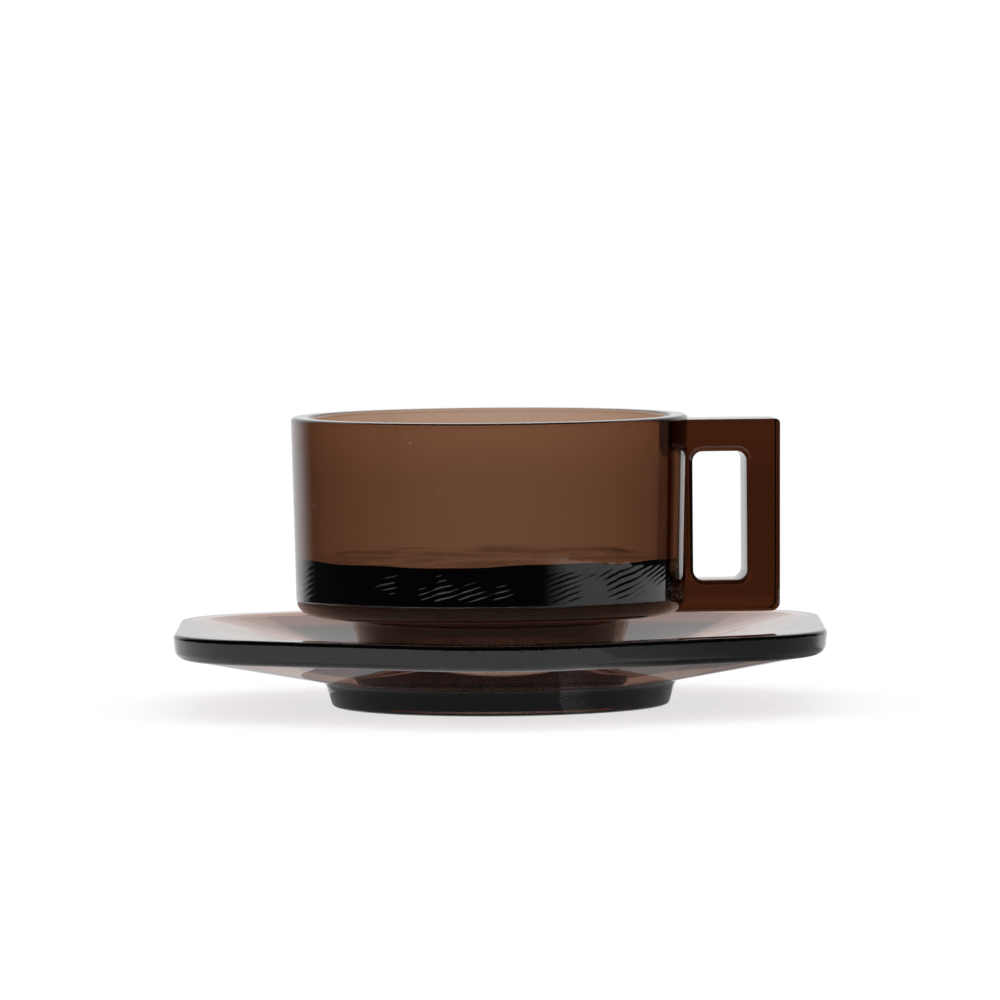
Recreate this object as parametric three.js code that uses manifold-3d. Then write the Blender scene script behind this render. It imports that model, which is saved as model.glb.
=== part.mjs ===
// A cup and its saucer in smoked brown pressed glass, empty, as they stand on a table.
// The saucer is a wide six-sided dish with round corners on a round foot ring.
// The cup is a straight low bowl on a foot of its own, with a square-cut loop handle.
// Millimetres, +Z up. The origin is the middle of the saucer's foot, on the table,
// and the handle points along +X.

import * as THREE from "three";
import { mergeVertices } from "three/addons/utils/BufferGeometryUtils.js";
import Module from "manifold-3d";

// The saucer's outline, seen from above
const SAUCER_SIDES = 6;
const SAUCER_APOTHEM = 71.4; // from the centre to the middle of a side
const SAUCER_CORNER_RADIUS = 30.5;
const SAUCER_TURN = THREE.MathUtils.degToRad(24.7); // from +X to the nearest corner

// The saucer's section, heights above the table
const SAUCER_FOOT_RADIUS = 37;
const SAUCER_FOOT_TOP_RADIUS = 38.7;
const SAUCER_FOOT_TOP = 5.6;
const SAUCER_FOOT_WALL = 4.6;
const SAUCER_RECESS_TOP = 1.6;
const SAUCER_RECESS_DRAFT = 0.3;
const SAUCER_BAND_BOTTOM = 12.6;
const SAUCER_BAND_INSET = 0.5;
const SAUCER_RIM_TOP = 17.9;
const SAUCER_RIM_WIDTH = 6;
const WELL_RADIUS = 35;
const WELL_HEIGHT = 9.5;

// The cup's section, heights above its own foot
const CUP_HEIGHT = 54.3;
const CUP_FOOT_RADIUS = 28.2;
const CUP_FOOT_TOP_RADIUS = 31;
const CUP_FOOT_WALL = 3.6;
const CUP_RECESS_HEIGHT = 8;
const CUP_RECESS_DRAFT = 1.5;
const BODY_BOTTOM = 10.5;
const BODY_RADIUS = 42.9;
const BODY_FLARE = 0.85; // how much wider the bowl is at its rim
const FLARE_POWER = 1.2; // the wall leans out a little more towards the rim
const WALL = 4.1;
const FLOOR_HEIGHT = 23.2; // top face of the floor inside the bowl

// The handle, measured from the cup's axis and foot
const HANDLE_ROOT = 39.3; // its inner end, sunk in the bowl's wall
const HANDLE_REACH = 63.7;
const HANDLE_DRAFT = 0.3;
const HANDLE_BOTTOM = 10.7;
const HANDLE_TOP = 53.1;
const HANDLE_THICKNESS = 14;
const HOLE_NEAR = 44.3;
const HOLE_FAR = 56.2;
const HOLE_BOTTOM = 17.7;
const HOLE_TOP = 46;
const HOLE_BEVEL = 1.3;

// Roundings
const FINE_EDGE = 0.6;
const FOOT_EDGE = 1.2;
const FOOT_FILLET = 2.5;
const BAND_LOWER_EDGE = 2.4;
const BODY_CORNER = 4;
const INNER_CORNER = 3;
const RIM_EDGE = 0.9;
const BAND_EDGE = 0.9;
const RIM_INNER_EDGE = 1.5;
const DISH_EDGE = 4;
const HANDLE_OUTER_CORNER = 2;
const HANDLE_TOP_CORNER = 1;
const HOLE_CORNER = 2.2;

// Where the cup stands on the saucer
const CUP_X = -2;
const CUP_Y = 0.15;
const CUP_CLEARANCE = 0.1;

// Fineness of the facets
const SEGMENTS = 60;
const ARC_STEPS = 3;
const WALL_STEPS = 3;

const SMOKED_GLASS = {
  color: 0x4a2e20,
  roughness: 0.04,
  metalness: 0,
  transparent: true,
  opacity: 0.8,
};

const wasm = await Module();
wasm.setup();

const point = (x, y) => new THREE.Vector2(x, y);
const corner = (x, y, radius = 0) => ({ at: point(x, y), radius });

// The points of one rounded corner of an outline.
function roundedCorner(previous, { at, radius }, next) {
  if (radius === 0) {
    return [at];
  }
  const back = previous.at.clone().sub(at).normalize();
  const ahead = next.at.clone().sub(at).normalize();
  const half = Math.acos(back.dot(ahead)) / 2;
  const middle = back.clone().add(ahead).normalize();
  const centre = at.clone().addScaledVector(middle, radius / Math.sin(half));
  const start = at.clone().addScaledVector(back, radius / Math.tan(half));
  const turn = Math.sign(ahead.cross(back)) * (Math.PI - 2 * half);
  const points = [];
  for (let step = 0; step <= ARC_STEPS; step++) {
    points.push(start.clone().rotateAround(centre, (turn * step) / ARC_STEPS));
  }
  return points;
}

// An open outline keeps its two ends, and a closed one rounds every corner.
function openOutline(corners) {
  const inner = corners.slice(1, -1);
  const rounded = inner.flatMap((item, i) => roundedCorner(corners[i], item, corners[i + 2]));
  return [corners[0].at, ...rounded, corners[corners.length - 1].at];
}

function closedOutline(corners) {
  const count = corners.length;
  return corners.flatMap((item, i) =>
    roundedCorner(corners[(i + count - 1) % count], item, corners[(i + 1) % count])
  );
}

// Distance from the centre to a polygon with round corners, at an angle from a corner.
function roundedPolygonRadius(angle, apothem, cornerRadius) {
  const half = Math.PI / SAUCER_SIDES;
  const fromCorner = Math.abs(THREE.MathUtils.euclideanModulo(angle + half, 2 * half) - half);
  const arcCentre = (apothem - cornerRadius) / Math.cos(half);
  const arcEnd = Math.atan2(
    cornerRadius * Math.sin(half),
    arcCentre + cornerRadius * Math.cos(half)
  );
  if (fromCorner > arcEnd) {
    return apothem / Math.cos(half - fromCorner);
  }
  const across = arcCentre * Math.sin(fromCorner);
  return arcCentre * Math.cos(fromCorner) + Math.sqrt(cornerRadius ** 2 - across ** 2);
}

// The saucer is round at its foot and well, and turns six-sided towards its rim.
function saucerRadius(reach, angle, roundUpTo, sixSidedFrom) {
  const share = THREE.MathUtils.clamp((reach - roundUpTo) / (sixSidedFrom - roundUpTo), 0, 1);
  const inset = SAUCER_APOTHEM - reach;
  const cornerRadius = Math.max(SAUCER_CORNER_RADIUS - inset, 0);
  const sixSided = roundedPolygonRadius(angle - SAUCER_TURN, reach, cornerRadius);
  return THREE.MathUtils.lerp(reach, sixSided, share);
}

// Rings of points from a pole below, out and round, to a pole above, joined as one skin.
function skinOfRings(rings, lowest, highest) {
  const positions = [0, 0, lowest];
  for (const ring of rings) {
    for (const { x, y, z } of ring) {
      positions.push(x, y, z);
    }
  }
  const top = positions.length / 3;
  positions.push(0, 0, highest);
  const vertex = (ring, i) => 1 + ring * SEGMENTS + (i % SEGMENTS);
  const last = rings.length - 1;
  const faces = [];
  for (let i = 0; i < SEGMENTS; i++) {
    faces.push(0, vertex(0, i + 1), vertex(0, i));
    faces.push(top, vertex(last, i), vertex(last, i + 1));
    for (let ring = 0; ring < last; ring++) {
      const [a, b] = [vertex(ring, i), vertex(ring, i + 1)];
      const [c, d] = [vertex(ring + 1, i + 1), vertex(ring + 1, i)];
      faces.push(a, b, c, a, c, d);
    }
  }
  const geometry = new THREE.BufferGeometry();
  geometry.setAttribute("position", new THREE.Float32BufferAttribute(positions, 3));
  geometry.setIndex(faces);
  return geometry;
}

function saucerGeometry() {
  const bandBottom = SAUCER_APOTHEM - SAUCER_BAND_INSET;
  const rimInner = SAUCER_APOTHEM - SAUCER_RIM_WIDTH;
  const footInner = SAUCER_FOOT_RADIUS - SAUCER_FOOT_WALL;
  const under = openOutline([
    corner(0, SAUCER_RECESS_TOP),
    corner(footInner - SAUCER_RECESS_DRAFT, SAUCER_RECESS_TOP, FINE_EDGE),
    corner(footInner, 0, FINE_EDGE),
    corner(SAUCER_FOOT_RADIUS, 0, FOOT_EDGE),
    corner(SAUCER_FOOT_TOP_RADIUS, SAUCER_FOOT_TOP, FOOT_FILLET),
    corner(bandBottom, SAUCER_BAND_BOTTOM, BAND_LOWER_EDGE),
    corner(SAUCER_APOTHEM, SAUCER_RIM_TOP),
  ]).slice(1, -1);
  const over = openOutline([
    corner(bandBottom, SAUCER_BAND_BOTTOM),
    corner(SAUCER_APOTHEM, SAUCER_RIM_TOP, BAND_EDGE),
    corner(rimInner, SAUCER_RIM_TOP, RIM_INNER_EDGE),
    corner(WELL_RADIUS, WELL_HEIGHT, DISH_EDGE),
    corner(0, WELL_HEIGHT),
  ]).slice(1, -1);
  const ring = (profile, roundUpTo, sixSidedFrom) =>
    Array.from({ length: SEGMENTS }, (_, i) => {
      const angle = (2 * Math.PI * i) / SEGMENTS;
      const radius = saucerRadius(profile.x, angle, roundUpTo, sixSidedFrom);
      return new THREE.Vector3(radius * Math.cos(angle), radius * Math.sin(angle), profile.y);
    });
  const rings = [
    ...under.map((profile) => ring(profile, SAUCER_FOOT_TOP_RADIUS, bandBottom)),
    ...over.map((profile) => ring(profile, WELL_RADIUS, rimInner)),
  ];
  return skinOfRings(rings, SAUCER_RECESS_TOP, WELL_HEIGHT);
}

// The bowl's outer radius at a height above the cup's foot.
function bowlRadius(height) {
  const share = Math.max(height - BODY_BOTTOM, 0) / (CUP_HEIGHT - BODY_BOTTOM);
  return BODY_RADIUS + BODY_FLARE * share ** FLARE_POWER;
}

// Corners along the bowl's wall, between the roundings at its two ends.
function wallCorners(fromHeight, toHeight, inset) {
  return Array.from({ length: WALL_STEPS }, (_, i) => {
    const height = THREE.MathUtils.lerp(fromHeight, toHeight, (i + 1) / (WALL_STEPS + 1));
    return corner(bowlRadius(height) - inset, height);
  });
}

function bowlGeometry() {
  const footInner = CUP_FOOT_RADIUS - CUP_FOOT_WALL;
  const lowWall = BODY_BOTTOM + BODY_CORNER;
  const highWall = CUP_HEIGHT - RIM_EDGE;
  const profile = openOutline([
    corner(0, CUP_RECESS_HEIGHT),
    corner(footInner - CUP_RECESS_DRAFT, CUP_RECESS_HEIGHT, FOOT_EDGE),
    corner(footInner, 0, FINE_EDGE),
    corner(CUP_FOOT_RADIUS, 0, FINE_EDGE),
    corner(CUP_FOOT_TOP_RADIUS, BODY_BOTTOM, FOOT_FILLET),
    corner(BODY_RADIUS, BODY_BOTTOM, BODY_CORNER),
    ...wallCorners(lowWall, highWall, 0),
    corner(bowlRadius(CUP_HEIGHT), CUP_HEIGHT, RIM_EDGE),
    corner(bowlRadius(CUP_HEIGHT) - WALL, CUP_HEIGHT, RIM_EDGE),
    ...wallCorners(highWall, FLOOR_HEIGHT + INNER_CORNER, WALL),
    corner(bowlRadius(FLOOR_HEIGHT) - WALL, FLOOR_HEIGHT, INNER_CORNER),
    corner(0, FLOOR_HEIGHT),
  ]);
  return new THREE.LatheGeometry(profile, SEGMENTS).rotateX(Math.PI / 2);
}

// A flat outline in X and height, given a thickness along Y that starts at a face.
function plate(outline, face, thickness, bevel = {}) {
  const geometry = new THREE.ExtrudeGeometry(new THREE.Shape(outline), {
    depth: thickness,
    bevelEnabled: false,
    ...bevel,
  });
  return geometry.translate(0, 0, face).rotateX(Math.PI / 2);
}

// The handle's outline is drawn inside its rounded edges, which then grow outwards.
function handleGeometry() {
  const low = HANDLE_BOTTOM + FINE_EDGE;
  const high = HANDLE_TOP - FINE_EDGE;
  const far = HANDLE_REACH - FINE_EDGE;
  const outline = closedOutline([
    corner(HANDLE_ROOT + FINE_EDGE, low),
    corner(far - HANDLE_DRAFT, low, HANDLE_OUTER_CORNER - FINE_EDGE),
    corner(far, high, HANDLE_TOP_CORNER - FINE_EDGE),
    corner(HANDLE_ROOT + FINE_EDGE, high),
  ]);
  const roundedEdges = {
    bevelEnabled: true,
    bevelThickness: FINE_EDGE,
    bevelSize: FINE_EDGE,
    bevelSegments: 2,
  };
  const flat = HANDLE_THICKNESS - 2 * FINE_EDGE;
  return plate(outline, -flat / 2, flat, roundedEdges);
}

// The handle's hole, and the bevel that opens it towards each side.
function holeGeometries() {
  const outline = closedOutline([
    corner(HOLE_NEAR, HOLE_BOTTOM, HOLE_CORNER),
    corner(HOLE_FAR, HOLE_BOTTOM, HOLE_CORNER),
    corner(HOLE_FAR, HOLE_TOP, HOLE_CORNER),
    corner(HOLE_NEAR, HOLE_TOP, HOLE_CORNER),
  ]);
  const bevel = {
    bevelEnabled: true,
    bevelThickness: HOLE_BEVEL,
    bevelSize: HOLE_BEVEL,
    bevelSegments: 1,
  };
  const side = HANDLE_THICKNESS / 2;
  return [
    plate(outline, -2 * side, 4 * side),
    plate(outline, side, side, bevel),
    plate(outline, -2 * side, side, bevel),
  ];
}

function solidFrom(geometry) {
  const bare = geometry.clone();
  bare.deleteAttribute("normal");
  bare.deleteAttribute("uv");
  const merged = mergeVertices(bare);
  return new wasm.Manifold(
    new wasm.Mesh({
      numProp: 3,
      vertProperties: Float32Array.from(merged.getAttribute("position").array),
      triVerts: Uint32Array.from(merged.getIndex().array),
    })
  );
}

function geometryFrom(solid) {
  const { vertProperties, triVerts } = solid.getMesh();
  const geometry = new THREE.BufferGeometry();
  geometry.setAttribute("position", new THREE.BufferAttribute(vertProperties, 3));
  geometry.setIndex(new THREE.BufferAttribute(triVerts, 1));
  return geometry;
}

// Bowl, foot and handle are one piece of glass.
function cupGeometry() {
  let cup = solidFrom(bowlGeometry()).add(solidFrom(handleGeometry()));
  for (const hole of holeGeometries()) {
    cup = cup.subtract(solidFrom(hole));
  }
  return geometryFrom(cup);
}

function glassPiece(name, geometry) {
  const piece = new THREE.Mesh(geometry, new THREE.MeshStandardMaterial(SMOKED_GLASS));
  piece.name = name;
  return piece;
}

const saucer = glassPiece("saucer", saucerGeometry());

const cup = glassPiece("cup", cupGeometry());
cup.position.set(CUP_X, CUP_Y, WELL_HEIGHT + CUP_CLEARANCE);

const cupAndSaucer = new THREE.Group();
cupAndSaucer.add(saucer, cup);

export default cupAndSaucer;
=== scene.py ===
import math

import bpy
import numpy as np
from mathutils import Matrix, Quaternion, Vector, noise


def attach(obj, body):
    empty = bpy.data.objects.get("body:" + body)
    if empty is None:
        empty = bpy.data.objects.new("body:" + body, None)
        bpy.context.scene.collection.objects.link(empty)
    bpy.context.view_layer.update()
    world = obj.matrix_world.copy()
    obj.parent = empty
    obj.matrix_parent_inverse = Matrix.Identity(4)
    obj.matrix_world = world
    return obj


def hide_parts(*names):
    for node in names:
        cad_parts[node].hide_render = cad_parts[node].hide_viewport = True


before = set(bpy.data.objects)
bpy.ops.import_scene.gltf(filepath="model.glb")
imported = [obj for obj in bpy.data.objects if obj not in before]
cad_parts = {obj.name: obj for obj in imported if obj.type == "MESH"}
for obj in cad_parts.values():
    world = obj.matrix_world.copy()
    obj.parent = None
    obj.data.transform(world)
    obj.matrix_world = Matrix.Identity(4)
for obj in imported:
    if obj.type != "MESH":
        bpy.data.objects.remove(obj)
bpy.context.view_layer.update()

# An empty cup of smoked brown pressed glass on its six-sided saucer.
# The part's own sizes are in millimetres, which MM turns into metres. The camera, the floor
# and everything else round the part are in metres.
MM = 0.001
ROOT = "root"

# The saucer's outline, seen from above
SAUCER_SIDES = 6
SAUCER_APOTHEM = 71.4
SAUCER_CORNER_RADIUS = 30.5
SAUCER_TURN = math.radians(24.7)

# The saucer's section, heights above the table
SAUCER_FOOT_RADIUS = 37.0
SAUCER_FOOT_TOP_RADIUS = 38.7
SAUCER_FOOT_TOP = 5.6
SAUCER_FOOT_WALL = 4.6
SAUCER_RECESS_TOP = 1.6
SAUCER_RECESS_DRAFT = 0.3
SAUCER_BAND_BOTTOM = 12.6
SAUCER_BAND_INSET = 0.5
SAUCER_RIM_TOP = 17.9
SAUCER_RIM_WIDTH = 6.0
WELL_RADIUS = 35.0
WELL_HEIGHT = 9.5

# The cup's section, heights above its own foot
CUP_HEIGHT = 54.3
CUP_FOOT_RADIUS = 28.2
CUP_FOOT_TOP_RADIUS = 31.0
CUP_FOOT_WALL = 3.6
CUP_RECESS_HEIGHT = 8.0
CUP_RECESS_DRAFT = 1.5
BODY_BOTTOM = 10.5
BODY_RADIUS = 42.9
BODY_FLARE = 0.85
FLARE_POWER = 1.2
WALL = 4.1
WALL_STEPS = 16
FLOOR_HEIGHT = 23.2

# The handle, measured from the cup's axis and foot
HANDLE_ROOT = 39.3
HANDLE_REACH = 63.7
HANDLE_DRAFT = 0.3
HANDLE_BOTTOM = 10.7
HANDLE_TOP = 53.1
HANDLE_THICKNESS = 14.0
HOLE_NEAR = 44.3
HOLE_FAR = 56.2
HOLE_BOTTOM = 17.7
HOLE_TOP = 46.0
HOLE_ROUNDING = 1.3

# Roundings
FINE_EDGE = 0.6
FOOT_EDGE = 1.2
FOOT_FILLET = 2.5
BAND_LOWER_EDGE = 2.4
BODY_CORNER = 4.0
INNER_CORNER = 3.0
RIM_EDGE = 0.9
BAND_EDGE = 0.9
RIM_INNER_EDGE = 1.5
DISH_EDGE = 4.0
HANDLE_OUTER_CORNER = 2.0
HANDLE_TOP_CORNER = 1.0
HANDLE_ROOT_CORNER = 0.7
HOLE_CORNER = 2.2
SMOOTH_UP_TO = math.radians(32)

# Where the cup stands on the saucer
CUP_X = -2.0
CUP_Y = 0.15
CUP_CLEARANCE = 0.1

# Unevenness of the pressed glass: its depth and the size of its bumps
WAVINESS = 0.06
WAVE_SIZE = 17.0
RIM_WAVINESS = 0.15
RIM_WAVE_SIZE = 34.0
FLOOR_WAVINESS = 0.9
FLOOR_WAVE_SIZE = 14.0

# Fine slanting ripples round the foot of the bowl's wall, strongest at one side
MARK_PITCH = 1.25
MARKS_AROUND = 74
MARKS_MIDDLE = math.radians(-135)
MARK_DEPTH = 0.024
MARKS_FROM = 14.6
MARKS_TO = 22.6
MARK_FADE = 1.4
MARK_DRIFT = 0.6
MARK_DRIFT_SIZE = 9.0
MARK_WOBBLE = 0.22
MARK_WOBBLE_SIZE = 3.5
MARK_PATCH_BASE = 0.7
MARK_PATCH_CONTRAST = 1.2
MARK_PATCH_SIZE = 7.0
MARK_LEAST = 0.3

# Which part of the noise each unevenness takes, and how far apart these parts lie
SAUCER_NOISE = 1
RIM_NOISE = 2
CUP_NOISE = 3
FLOOR_NOISE = 4
DRIFT_NOISE = 5
WOBBLE_NOISE = 6
PATCH_NOISE = 7
NOISE_STEP = 31.7

# Fineness of the meshes
SEGMENTS = 420
MARK_STEPS = 6
FLOOR_STEP = 1.8
ARC_STEP = math.radians(9)
STRAIGHT_STEP = 1.2
SUPPORT = 0.08
LOOP_ARC_STEPS = 8
LOOP_SIDE_STEPS = 13


def corner(x, z, radius=0.0):
    return Vector((x, z)), radius


def rounded_corner(before, here, after):
    """The points of one rounded corner of an outline."""
    at, radius = here
    if radius == 0:
        return [at]
    back = (before[0] - at).normalized()
    ahead = (after[0] - at).normalized()
    half = math.acos(max(-1.0, min(1.0, back.dot(ahead)))) / 2
    centre = at + (back + ahead).normalized() * (radius / math.sin(half))
    start = at + back * (radius / math.tan(half)) - centre
    sweep = math.pi - 2 * half
    side = 1 if ahead.cross(back) > 0 else -1
    steps = max(2, math.ceil(sweep / ARC_STEP))
    turned = []
    for step in range(steps + 1):
        angle = side * sweep * step / steps
        c, s = math.cos(angle), math.sin(angle)
        turned.append(centre + Vector((c * start.x - s * start.y, s * start.x + c * start.y)))
    return turned


def straight(a, b):
    """Points between two ends of a straight stretch, with one close to each end."""
    length = (b - a).length
    if length < 4 * SUPPORT:
        return []
    count = max(1, round(length / STRAIGHT_STEP))
    shares = [SUPPORT / length, *(i / count for i in range(1, count)), 1 - SUPPORT / length]
    return [a.lerp(b, share) for share in shares]


def outline(corners):
    """Points along a run of corners, all of them rounded but the two ends."""
    count = len(corners)
    pieces = [[corners[0][0]]]
    for before, here, after in zip(corners, corners[1:], corners[2:]):
        pieces.append(rounded_corner(before, here, after))
    pieces.append([corners[-1][0]])
    points = []
    for i, piece in enumerate(pieces):
        points += piece
        along_wall = 0 < i < count - 2 and corners[i][1] == 0 == corners[i + 1][1]
        if i < count - 1 and not along_wall:
            points += straight(piece[-1], pieces[i + 1][0])
    return np.array([tuple(p) for p in points])


def grid_faces(rings, around, closed_rings=False):
    """Quads between rings of points, each ring closing on itself."""
    i = np.arange(around)
    faces = []
    for ring in range(rings if closed_rings else rings - 1):
        a = ring * around + i
        b = ring * around + (i + 1) % around
        up = ((ring + 1) % rings - ring) * around
        faces.append(np.stack([a, b, b + up, a + up], axis=1))
    return np.concatenate(faces).tolist()


def mesh_from(name, points, faces):
    mesh = bpy.data.meshes.new(name)
    mesh.from_pydata((np.asarray(points) * MM).tolist(), [], faces)
    mesh.update()
    piece = bpy.data.objects.new(name, mesh)
    bpy.context.scene.collection.objects.link(piece)
    return piece


def skin_of_rings(name, rings):
    """A closed skin: rings of points, with the first and last closed by a point on the axis."""
    count, around, _ = rings.shape
    low = rings[0].mean(axis=0)
    high = rings[-1].mean(axis=0)
    points = np.concatenate([rings.reshape(-1, 3), [low, high]])
    faces = grid_faces(count, around)
    pole, top, last = count * around, count * around + 1, (count - 1) * around
    for i in range(around):
        after = (i + 1) % around
        faces.append([pole, after, i])
        faces.append([top, last + i, last + after])
    return mesh_from(name, points, faces)


def waves(points, size, seed):
    """Smooth uneven value between about -1 and 1 at each point, repeatable, in bumps of a size."""
    flat = (np.asarray(points) / size).reshape(-1, 3)
    values = [noise.noise(Vector((x + seed * NOISE_STEP, y, z))) for x, y, z in flat.tolist()]
    return np.array(values).reshape(np.shape(points)[:-1])


def hollow(points, size, seed):
    """The same unevenness as a depth from 0 to about 1, so that it only takes glass away."""
    return np.clip(0.5 + 0.5 * waves(points, size, seed), 0, 1)


def rounded_polygon_radius(angle, apothem, corner_radius):
    """Distance from the centre to a polygon with round corners, at angles from a corner."""
    half = math.pi / SAUCER_SIDES
    from_corner = np.abs((angle + half) % (2 * half) - half)
    arc_centre = (apothem - corner_radius) / math.cos(half)
    arc_end = math.atan2(
        corner_radius * math.sin(half), arc_centre + corner_radius * math.cos(half)
    )
    across = np.minimum(arc_centre * np.sin(from_corner), corner_radius)
    arc = arc_centre * np.cos(from_corner) + np.sqrt(corner_radius**2 - across**2)
    side = apothem / np.cos(half - from_corner)
    return np.where(from_corner > arc_end, side, arc)


def saucer_ring(reach, height, round_up_to, six_sided_from):
    """One ring of the saucer, round at its foot and well and six-sided towards its rim."""
    angle = 2 * math.pi * np.arange(SEGMENTS) / SEGMENTS
    share = min(max((reach - round_up_to) / (six_sided_from - round_up_to), 0.0), 1.0)
    corner_radius = max(SAUCER_CORNER_RADIUS - (SAUCER_APOTHEM - reach), 0.0)
    six_sided = rounded_polygon_radius(angle - SAUCER_TURN, reach, corner_radius)
    radius = reach + (six_sided - reach) * share
    return np.stack(
        [radius * np.cos(angle), radius * np.sin(angle), np.full(SEGMENTS, height)], axis=1
    )


def build_saucer():
    band_bottom = SAUCER_APOTHEM - SAUCER_BAND_INSET
    rim_inner = SAUCER_APOTHEM - SAUCER_RIM_WIDTH
    foot_inner = SAUCER_FOOT_RADIUS - SAUCER_FOOT_WALL
    section = outline([
        corner(0, SAUCER_RECESS_TOP),
        corner(foot_inner - SAUCER_RECESS_DRAFT, SAUCER_RECESS_TOP, FINE_EDGE),
        corner(foot_inner, 0, FINE_EDGE),
        corner(SAUCER_FOOT_RADIUS, 0, FOOT_EDGE),
        corner(SAUCER_FOOT_TOP_RADIUS, SAUCER_FOOT_TOP, FOOT_FILLET),
        corner(band_bottom, SAUCER_BAND_BOTTOM, BAND_LOWER_EDGE),
        corner(SAUCER_APOTHEM, SAUCER_RIM_TOP, BAND_EDGE),
        corner(rim_inner, SAUCER_RIM_TOP, RIM_INNER_EDGE),
        corner(WELL_RADIUS, WELL_HEIGHT, DISH_EDGE),
        corner(0, WELL_HEIGHT),
    ])[1:-1]
    widest = int(np.argmax(section[:, 0]))
    under, over = section[: widest + 1], section[widest + 1:]
    rings = [saucer_ring(x, z, SAUCER_FOOT_TOP_RADIUS, band_bottom) for x, z in under]
    rings += [saucer_ring(x, z, WELL_RADIUS, rim_inner) for x, z in over]
    rings = np.array(rings)
    depth = WAVINESS * hollow(rings, WAVE_SIZE, SAUCER_NOISE)
    rings[..., :2] *= 1 - (depth / SAUCER_APOTHEM)[..., None]
    upper = np.arange(len(rings)) > widest
    rings[upper, :, 2] -= RIM_WAVINESS * hollow(rings[upper], RIM_WAVE_SIZE, RIM_NOISE)
    return skin_of_rings("saucer_piece", rings)


def bowl_radius(height):
    """The bowl's outer radius at a height above the cup's foot."""
    share = max(height - BODY_BOTTOM, 0.0) / (CUP_HEIGHT - BODY_BOTTOM)
    return BODY_RADIUS + BODY_FLARE * share**FLARE_POWER


def wall_corners(start, end, inset):
    heights = np.linspace(start, end, WALL_STEPS + 2)[1:-1]
    return [corner(bowl_radius(h) - inset, h) for h in heights]


def press_marks(points, angle, height):
    """Depth of the fine slanting ripples round the foot of the wall, left by the press."""
    drift = MARK_DRIFT * waves(points, MARK_DRIFT_SIZE, DRIFT_NOISE)
    drift += MARK_WOBBLE * waves(points, MARK_WOBBLE_SIZE, WOBBLE_NOISE)
    phase = height / MARK_PITCH - MARKS_AROUND * angle / (2 * math.pi) + drift
    unevenness = waves(points, MARK_PATCH_SIZE, PATCH_NOISE)
    patches = np.clip(MARK_PATCH_BASE + MARK_PATCH_CONTRAST * unevenness, 0, 1)
    facing = np.clip(np.cos(angle - MARKS_MIDDLE), 0, 1)
    patches = patches * (MARK_LEAST + (1 - MARK_LEAST) * facing)
    lower = np.clip((height - MARKS_FROM) / MARK_FADE, 0, 1)
    upper = np.clip((MARKS_TO - height) / MARK_FADE, 0, 1)
    return MARK_DEPTH * (0.5 + 0.5 * np.sin(2 * math.pi * phase)) * patches * lower * upper


def build_bowl():
    foot_inner = CUP_FOOT_RADIUS - CUP_FOOT_WALL
    high_wall = CUP_HEIGHT - RIM_EDGE
    marked = np.arange(MARKS_FROM, MARKS_TO, MARK_PITCH / MARK_STEPS)
    section = outline([
        corner(0, CUP_RECESS_HEIGHT),
        corner(foot_inner - CUP_RECESS_DRAFT, CUP_RECESS_HEIGHT, FOOT_EDGE),
        corner(foot_inner, 0, FINE_EDGE),
        corner(CUP_FOOT_RADIUS, 0, FINE_EDGE),
        corner(CUP_FOOT_TOP_RADIUS, BODY_BOTTOM, FOOT_FILLET),
        corner(BODY_RADIUS, BODY_BOTTOM, BODY_CORNER),
        *[corner(bowl_radius(h), h) for h in marked],
        *wall_corners(MARKS_TO, high_wall, 0),
        corner(bowl_radius(CUP_HEIGHT), CUP_HEIGHT, RIM_EDGE),
        corner(bowl_radius(CUP_HEIGHT) - WALL, CUP_HEIGHT, RIM_EDGE),
        *wall_corners(high_wall, FLOOR_HEIGHT + INNER_CORNER, WALL),
        corner(bowl_radius(FLOOR_HEIGHT) - WALL, FLOOR_HEIGHT, INNER_CORNER),
    ])
    floor_edge = section[-2][0]
    floor = [(r, FLOOR_HEIGHT) for r in np.arange(floor_edge, FLOOR_STEP, -FLOOR_STEP)]
    section = np.array([*section[1:-1], *floor[1:]])
    angle = 2 * math.pi * np.arange(SEGMENTS) / SEGMENTS
    radius, height = section[:, :1], section[:, 1:]
    rings = np.stack([
        radius * np.cos(angle), radius * np.sin(angle), np.repeat(height, SEGMENTS, axis=1)
    ], axis=2)
    inside = np.arange(len(section)) > int(np.argmax(section[:, 1]))
    depth = WAVINESS * hollow(rings, WAVE_SIZE, CUP_NOISE)
    depth += np.where(inside[:, None], 0, press_marks(rings, angle, height))
    rings[..., :2] *= 1 - depth[..., None] / BODY_RADIUS
    low = inside & (section[:, 1] < FLOOR_HEIGHT + INNER_CORNER)
    fade = np.clip((FLOOR_HEIGHT + INNER_CORNER - section[low, 1]) / INNER_CORNER, 0, 1)
    bumps = FLOOR_WAVINESS * waves(rings[low], FLOOR_WAVE_SIZE, FLOOR_NOISE)
    rings[low, :, 2] += bumps * fade[:, None]
    return skin_of_rings("cup_piece", rings + (CUP_X, CUP_Y, WELL_HEIGHT + CUP_CLEARANCE))


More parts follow.
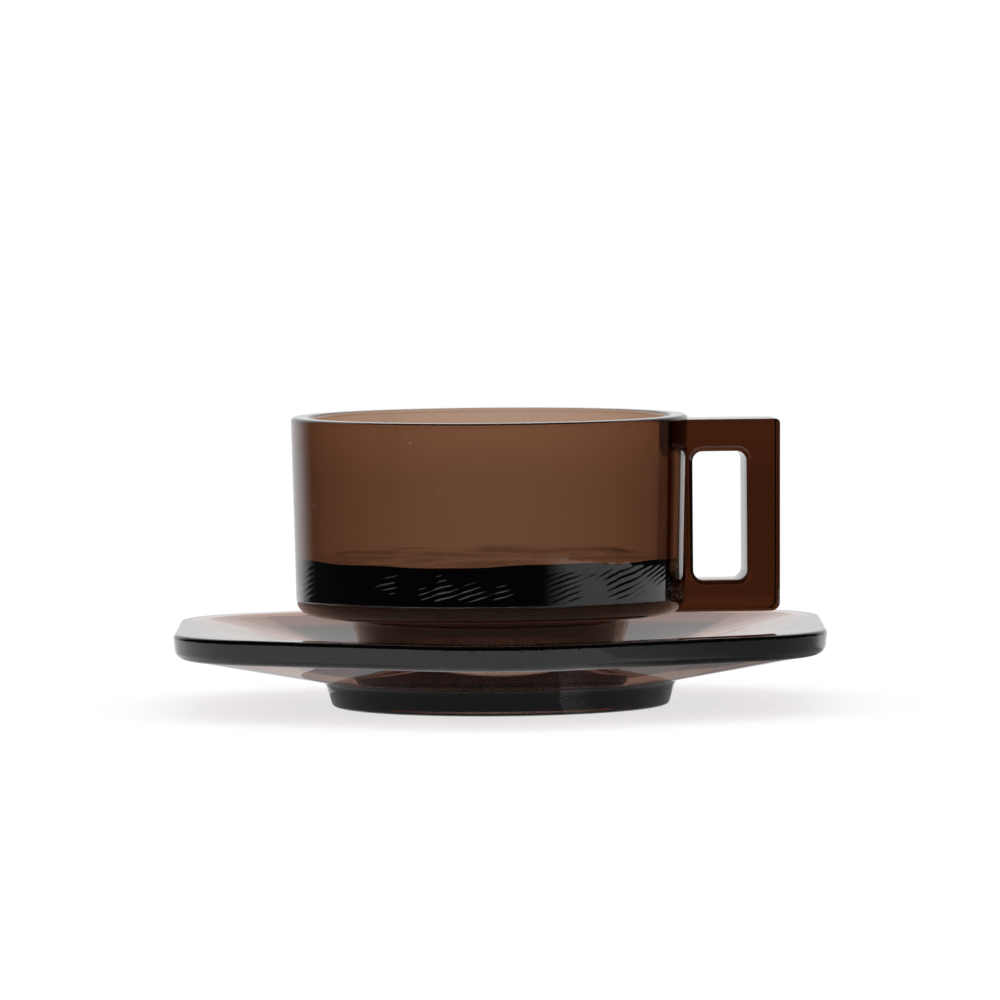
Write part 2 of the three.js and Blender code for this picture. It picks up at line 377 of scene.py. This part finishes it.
def loop_outline(near, far, low, high, radii, lean=0.0):
    """A rectangle with round corners, with the same number of points whatever its size."""
    corners = [(near, low), (far - lean, low), (far, high), (near, high)]
    starts = [math.pi, 1.5 * math.pi, 0.0, 0.5 * math.pi]
    arcs = []
    inward = [(1, 1), (-1, 1), (-1, -1), (1, -1)]
    for (x, z), radius, start, (right, up) in zip(corners, radii, starts, inward):
        angles = start + np.linspace(0, math.pi / 2, LOOP_ARC_STEPS + 1)
        centre = np.array([x + right * radius, z + up * radius])
        arcs.append(centre + radius * np.stack([np.cos(angles), np.sin(angles)], axis=1))
    points = []
    for i, arc in enumerate(arcs):
        points += list(arc)
        first = arcs[(i + 1) % 4][0]
        shares = np.linspace(0, 1, LOOP_SIDE_STEPS + 1)[1:-1]
        points += [arc[-1] + (first - arc[-1]) * share for share in shares]
    return np.array(points)


def build_handle():
    """The handle's loop, ring by ring: through the hole, over the front, round and back."""
    half = HANDLE_THICKNESS / 2
    quarter = np.linspace(0, math.pi / 2, LOOP_ARC_STEPS + 1)

    def hole(out, y):
        radii = [HOLE_CORNER + out] * 4
        ring = loop_outline(
            HOLE_NEAR - out, HOLE_FAR + out, HOLE_BOTTOM - out, HOLE_TOP + out, radii
        )
        return ring, y

    def rim(inset, y):
        radii = [
            HANDLE_ROOT_CORNER, HANDLE_OUTER_CORNER - inset,
            HANDLE_TOP_CORNER - inset, HANDLE_ROOT_CORNER,
        ]
        ring = loop_outline(
            HANDLE_ROOT + inset, HANDLE_REACH - inset, HANDLE_BOTTOM + inset,
            HANDLE_TOP - inset, radii, HANDLE_DRAFT,
        )
        return ring, y

    front = []
    for a in quarter:
        out = HOLE_ROUNDING * (1 - math.cos(a))
        front.append(hole(out, HOLE_ROUNDING * (1 - math.sin(a)) - half))
    front.append(hole(HOLE_ROUNDING + SUPPORT, -half))
    front.append(rim(FINE_EDGE + SUPPORT, -half))
    for a in quarter:
        front.append(rim(FINE_EDGE * (1 - math.sin(a)), FINE_EDGE * (1 - math.cos(a)) - half))
    rings = front + [(ring, -y) for ring, y in reversed(front)]
    points = np.array([[(x, y, z) for x, z in ring] for ring, y in rings])
    count, around = points.shape[:2]
    points = points.reshape(-1, 3) + (CUP_X, CUP_Y, WELL_HEIGHT + CUP_CLEARANCE)
    faces = [list(reversed(f)) for f in grid_faces(count, around, closed_rings=True)]
    return mesh_from("handle_form", points, faces)


def build_cup():
    """Bowl and handle joined into one piece of glass."""
    bowl, handle = build_bowl(), build_handle()
    join = bowl.modifiers.new("join", "BOOLEAN")
    join.operation = "UNION"
    join.solver = "MANIFOLD"
    join.object = handle
    graph = bpy.context.evaluated_depsgraph_get()
    joined = bpy.data.meshes.new_from_object(bowl.evaluated_get(graph))
    bowl.modifiers.clear()
    bowl.data = joined
    bpy.data.objects.remove(handle)
    return bowl


def finish_piece(piece, node, material):
    piece.data.materials.clear()
    piece.data.materials.append(material)
    piece.data.shade_smooth()
    piece.data.set_sharp_from_angle(angle=SMOOTH_UP_TO)
    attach(piece, ROOT)
    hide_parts(node)


def new_material(name):
    material = bpy.data.materials.new(name)
    material.use_nodes = True
    nodes = material.node_tree.nodes
    nodes.clear()
    output = nodes.new("ShaderNodeOutputMaterial")
    return material, nodes, material.node_tree.links, output


# What each millimetre of the glass takes off red, green and blue light
CUP_ABSORPTION = (0.21, 0.31, 0.39)
SAUCER_ABSORPTION = (0.13, 0.22, 0.27)
GLASS_IOR = 1.5

# The glass's surface: faint smudges, tiny pits and an uneven skin, as scale, range and depth
SMUDGE_SCALE = 90.0
SMUDGE_DETAIL = 3.0
SMUDGE_RANGE = (0.45, 0.8)
SMUDGE_ROUGHNESS = 0.03
PIT_SCALE = 200.0
PIT_RANGE = (0.02, 0.05)
PIT_STRENGTH = 0.4
PIT_DEPTH = 0.0002
SKIN_SCALE = 120.0
SKIN_DETAIL = 2.0
SKIN_STRENGTH = 0.08
SKIN_DEPTH = 0.0001


def noise_texture(nodes, links, place, scale, detail):
    texture = nodes.new("ShaderNodeTexNoise")
    texture.inputs["Scale"].default_value = scale
    texture.inputs["Detail"].default_value = detail
    links.new(place, texture.inputs["Vector"])
    return texture.outputs["Fac"]


def bump(nodes, links, height, strength, distance):
    node = nodes.new("ShaderNodeBump")
    node.inputs["Strength"].default_value = strength
    node.inputs["Distance"].default_value = distance
    links.new(height, node.inputs["Height"])
    return node


def smoked_glass(name, absorption):
    material, nodes, links, output = new_material(name)
    shader = nodes.new("ShaderNodeBsdfPrincipled")
    shader.inputs["Base Color"].default_value = (1, 1, 1, 1)
    shader.inputs["Transmission Weight"].default_value = 1.0
    shader.inputs["IOR"].default_value = GLASS_IOR
    links.new(shader.outputs[0], output.inputs["Surface"])

    inside = nodes.new("ShaderNodeVolumeAbsorption")
    most = max(absorption)
    inside.inputs["Color"].default_value = (*(1 - part / most for part in absorption), 1)
    inside.inputs["Density"].default_value = most / MM
    links.new(inside.outputs[0], output.inputs["Volume"])

    place = nodes.new("ShaderNodeTexCoord").outputs["Object"]
    smudge = noise_texture(nodes, links, place, SMUDGE_SCALE, SMUDGE_DETAIL)
    gloss = nodes.new("ShaderNodeMapRange")
    gloss.inputs["From Min"].default_value = SMUDGE_RANGE[0]
    gloss.inputs["From Max"].default_value = SMUDGE_RANGE[1]
    gloss.inputs["To Min"].default_value = 0.0
    gloss.inputs["To Max"].default_value = SMUDGE_ROUGHNESS
    links.new(smudge, gloss.inputs["Value"])
    links.new(gloss.outputs["Result"], shader.inputs["Roughness"])

    seeds = nodes.new("ShaderNodeTexVoronoi")
    seeds.inputs["Scale"].default_value = PIT_SCALE
    links.new(place, seeds.inputs["Vector"])
    pit = nodes.new("ShaderNodeMapRange")
    pit.inputs["From Min"].default_value = PIT_RANGE[0]
    pit.inputs["From Max"].default_value = PIT_RANGE[1]
    links.new(seeds.outputs["Distance"], pit.inputs["Value"])
    pits = bump(nodes, links, pit.outputs["Result"], PIT_STRENGTH, PIT_DEPTH)

    skin = noise_texture(nodes, links, place, SKIN_SCALE, SKIN_DETAIL)
    uneven = bump(nodes, links, skin, SKIN_STRENGTH, SKIN_DEPTH)
    links.new(pits.outputs["Normal"], uneven.inputs["Normal"])
    links.new(uneven.outputs["Normal"], shader.inputs["Normal"])
    return material


# The photo's view: the camera stands off the handle's side, low and far away
VIEW_TURN = math.radians(-5.3)
VIEW_DISTANCE = 2.2
VIEW_HEIGHT = 0.1555
VIEW_AIM_HEIGHT = 0.0452
VIEW_AIM_RIGHT = 0.0002
VIEW_LENS = 360.0
VIEW_ROLL = math.radians(-0.48)
SENSOR_WIDTH = 36.0
VIEW_END = 40.0


def build_camera():
    data = bpy.data.cameras.new("camera")
    data.lens = VIEW_LENS
    data.sensor_width = SENSOR_WIDTH
    data.clip_end = VIEW_END
    camera = bpy.data.objects.new("camera", data)
    bpy.context.scene.collection.objects.link(camera)
    right = Vector((math.cos(VIEW_TURN), math.sin(VIEW_TURN), 0))
    towards = Vector((math.sin(VIEW_TURN), -math.cos(VIEW_TURN), 0))
    beside = right * VIEW_AIM_RIGHT
    aim = beside + Vector((0, 0, VIEW_AIM_HEIGHT))
    camera.location = beside + towards * VIEW_DISTANCE + Vector((0, 0, VIEW_HEIGHT))
    look = (aim - camera.location).to_track_quat("-Z", "Y")
    camera.rotation_mode = "QUATERNION"
    camera.rotation_quaternion = look @ Quaternion((0, 0, 1), VIEW_ROLL)
    bpy.context.scene.camera = camera


# The floor is pale and lit a little from below, like a light table
FLOOR_RADIUS = 3.0
FLOOR_COLOR = 0.3
FLOOR_GLOW = 0.7
FLOOR_SIDES = 64
FLOOR_GAP = 0.0001
TUBE_SIDES = 96


def stage_material(name):
    """A glow whose strength the caller links in."""
    material, nodes, links, output = new_material(name)
    glow = nodes.new("ShaderNodeEmission")
    glow.inputs["Color"].default_value = (1, 1, 1, 1)
    links.new(glow.outputs[0], output.inputs["Surface"])
    return material, nodes, links, glow


def ramp(nodes, links, value, start, end, low, high):
    """A value carried smoothly from one range to another."""
    node = nodes.new("ShaderNodeMapRange")
    node.interpolation_type = "SMOOTHSTEP"
    node.inputs["From Min"].default_value = start
    node.inputs["From Max"].default_value = end
    node.inputs["To Min"].default_value = low
    node.inputs["To Max"].default_value = high
    links.new(value, node.inputs["Value"])
    return node.outputs["Result"]


def position(nodes, links):
    """The point's own coordinates in its object."""
    place = nodes.new("ShaderNodeTexCoord")
    split = nodes.new("ShaderNodeSeparateXYZ")
    links.new(place.outputs["Object"], split.inputs[0])
    return split.outputs


def build_stage():
    material, nodes, links, output = new_material("pale_floor")
    shader = nodes.new("ShaderNodeBsdfDiffuse")
    shader.inputs["Color"].default_value = (FLOOR_COLOR, FLOOR_COLOR, FLOOR_COLOR, 1)
    glow = nodes.new("ShaderNodeEmission")
    glow.inputs["Color"].default_value = (1, 1, 1, 1)
    glow.inputs["Strength"].default_value = FLOOR_GLOW
    both = nodes.new("ShaderNodeAddShader")
    links.new(shader.outputs[0], both.inputs[0])
    links.new(glow.outputs[0], both.inputs[1])
    links.new(both.outputs[0], output.inputs["Surface"])
    ring = [
        (FLOOR_RADIUS * math.cos(a), FLOOR_RADIUS * math.sin(a), 0)
        for a in np.linspace(0, 2 * math.pi, FLOOR_SIDES, endpoint=False)
    ]
    floor = mesh_from("floor", np.array(ring) / MM, [list(range(FLOOR_SIDES))])
    floor.data.materials.append(material)
    floor.location.z = -FLOOR_GAP


def tube(name, radius, height, material, roofed=False):
    """An upright open tube round the part, its local Y turned away from the camera."""
    angles = np.linspace(0, 2 * math.pi, TUBE_SIDES, endpoint=False)
    points = []
    for z in (0.0, height):
        points += [(radius * math.cos(a), radius * math.sin(a), z) for a in angles]
    faces = grid_faces(2, TUBE_SIDES)
    if roofed:
        faces.append(list(range(TUBE_SIDES, 2 * TUBE_SIDES)))
    piece = mesh_from(name, np.array(points) / MM, faces)
    piece.rotation_euler.z = VIEW_TURN
    piece.data.materials.append(material)
    piece.visible_camera = False
    piece.visible_diffuse = False
    piece.visible_shadow = False
    piece.visible_volume_scatter = False
    return piece


# The studio as the glass mirrors it: white low down at the back, dark in front and above
STUDIO_RADIUS = 0.42
STUDIO_HEIGHT = 0.8
STUDIO_DARK = 0.03
STUDIO_WHITE = 0.85
STUDIO_SIDE_START = math.radians(60)
STUDIO_SIDE_END = math.radians(32)
STUDIO_TOP_START = 0.42
STUDIO_TOP_END = 0.7

# The backdrop as it shows through the glass, with painted shade: darker low down, standing in for
# the part's own shadow on the table behind it
BACKDROP_RADIUS = 0.4
BACKDROP_HEIGHT = 0.06
BACKDROP_PAINTED_SHADE = 0.8
BACKDROP_START = 0.029
BACKDROP_END = 0.043

# Painted shade on the table, seen only in what the glass mirrors: cards darker than the floor's
# glow, standing in for the part's shadow near its foot and for the dark studio farther out in
# front.
# Their light, nearest and farthest distance, middle and half width in degrees from the front,
# and the width of their soft edges
PAINTED_SHADE_CARDS = {
    "painted_shade_table_far": (STUDIO_DARK, 0.235, 0.42, -49, 91, 14),
    "painted_shade_table_right": (0.38, 0.08, 0.2, 75, 36, 14),
    "painted_shade_table_left": (0.62, 0.045, 0.08, -75, 60, 15),
    "shaded_table_right": (0.2, 0.036, 0.08, 72, 50, 18),
    "shaded_table_near": (0.25, 0.036, 0.045, 0, 180, 1),
}
CARD_HEIGHT = 0.0003
CARD_STEPS = 32
FULL_TURN = 360


def build_screens():
    material, nodes, links, glow = stage_material("studio")
    place = position(nodes, links)
    side = ramp(
        nodes, links, place["Y"],
        STUDIO_RADIUS * math.cos(STUDIO_SIDE_START), STUDIO_RADIUS * math.cos(STUDIO_SIDE_END),
        0.0, STUDIO_WHITE,
    )
    top = ramp(nodes, links, place["Z"], STUDIO_TOP_START, STUDIO_TOP_END, 1.0, 0.0)
    both = nodes.new("ShaderNodeMath")
    both.operation = "MULTIPLY_ADD"
    both.inputs[2].default_value = STUDIO_DARK
    links.new(side, both.inputs[0])
    links.new(top, both.inputs[1])
    links.new(both.outputs[0], glow.inputs["Strength"])
    studio = tube("studio", STUDIO_RADIUS, STUDIO_HEIGHT, material, roofed=True)
    studio.visible_transmission = False

    # Painted shade: the backdrop's glow fades darker towards the bottom
    material, nodes, links, glow = stage_material("backdrop")
    height = position(nodes, links)["Z"]
    shade = ramp(nodes, links, height, BACKDROP_START, BACKDROP_END, BACKDROP_PAINTED_SHADE, 1.0)
    links.new(shade, glow.inputs["Strength"])
    backdrop = tube("backdrop", BACKDROP_RADIUS, BACKDROP_HEIGHT, material)
    backdrop.visible_glossy = False


def build_painted_shade_card(name, light, near, far, middle, half_width, fade):
    """A card of painted shade on the table, seen only in what the glass mirrors, its light rising
    at its two sides to the floor's glow.
    """
    material, nodes, links, glow = stage_material(name)
    place = nodes.new("ShaderNodeTexCoord")
    turn = nodes.new("ShaderNodeTexGradient")
    turn.gradient_type = "RADIAL"
    links.new(place.outputs["Object"], turn.inputs["Vector"])
    off_middle = nodes.new("ShaderNodeMath")
    off_middle.operation = "SUBTRACT"
    off_middle.inputs[1].default_value = 0.5
    links.new(turn.outputs["Fac"], off_middle.inputs[0])
    away = nodes.new("ShaderNodeMath")
    away.operation = "ABSOLUTE"
    links.new(off_middle.outputs[0], away.inputs[0])
    start, end = (half_width - fade) / FULL_TURN, half_width / FULL_TURN
    edge = ramp(nodes, links, away.outputs[0], start, end, light, FLOOR_GLOW)
    links.new(edge, glow.inputs["Strength"])

    angles = np.radians(np.linspace(-half_width, half_width, CARD_STEPS + 1))
    points = []
    for radius in (near, far):
        points += [(radius * math.cos(a), radius * math.sin(a), 0) for a in angles]
    above = CARD_STEPS + 1
    faces = [[i, i + above, i + above + 1, i + 1] for i in range(CARD_STEPS)]
    card = mesh_from(name, np.array(points) / MM, faces)
    card.rotation_euler.z = VIEW_TURN - math.pi / 2 + math.radians(middle)
    card.location.z = CARD_HEIGHT
    card.data.materials.append(material)
    card.visible_camera = False
    card.visible_diffuse = False
    card.visible_transmission = False
    card.visible_shadow = False
    card.visible_volume_scatter = False


# The one lamp, a soft light from above
LAMP_ENERGY = 3.0
LAMP_SIZE = 1.2
LAMP_PLACE = (0, 0.3, 1.4)
WORLD_LIGHT = 1.0


def build_lights():
    world = bpy.data.worlds.new("world")
    world.use_nodes = True
    background = world.node_tree.nodes["Background"]
    background.inputs["Color"].default_value = (1, 1, 1, 1)
    background.inputs["Strength"].default_value = WORLD_LIGHT
    bpy.context.scene.world = world
    top = bpy.data.lights.new("top_light", "AREA")
    top.energy = LAMP_ENERGY
    top.size = LAMP_SIZE
    lamp = bpy.data.objects.new("top_light", top)
    lamp.location = LAMP_PLACE
    bpy.context.scene.collection.objects.link(lamp)


build_camera()
build_stage()
build_screens()
# Cards of painted shade on the table, seen only in reflections
for card_name, card in PAINTED_SHADE_CARDS.items():
    build_painted_shade_card(card_name, *card)
build_lights()
saucer_glass = smoked_glass("saucer_glass", SAUCER_ABSORPTION)
finish_piece(build_saucer(), "saucer", saucer_glass)
cup_glass = smoked_glass("cup_glass", CUP_ABSORPTION)
finish_piece(build_cup(), "cup", cup_glass)
bpy.context.scene.view_settings.view_transform = "Standard"
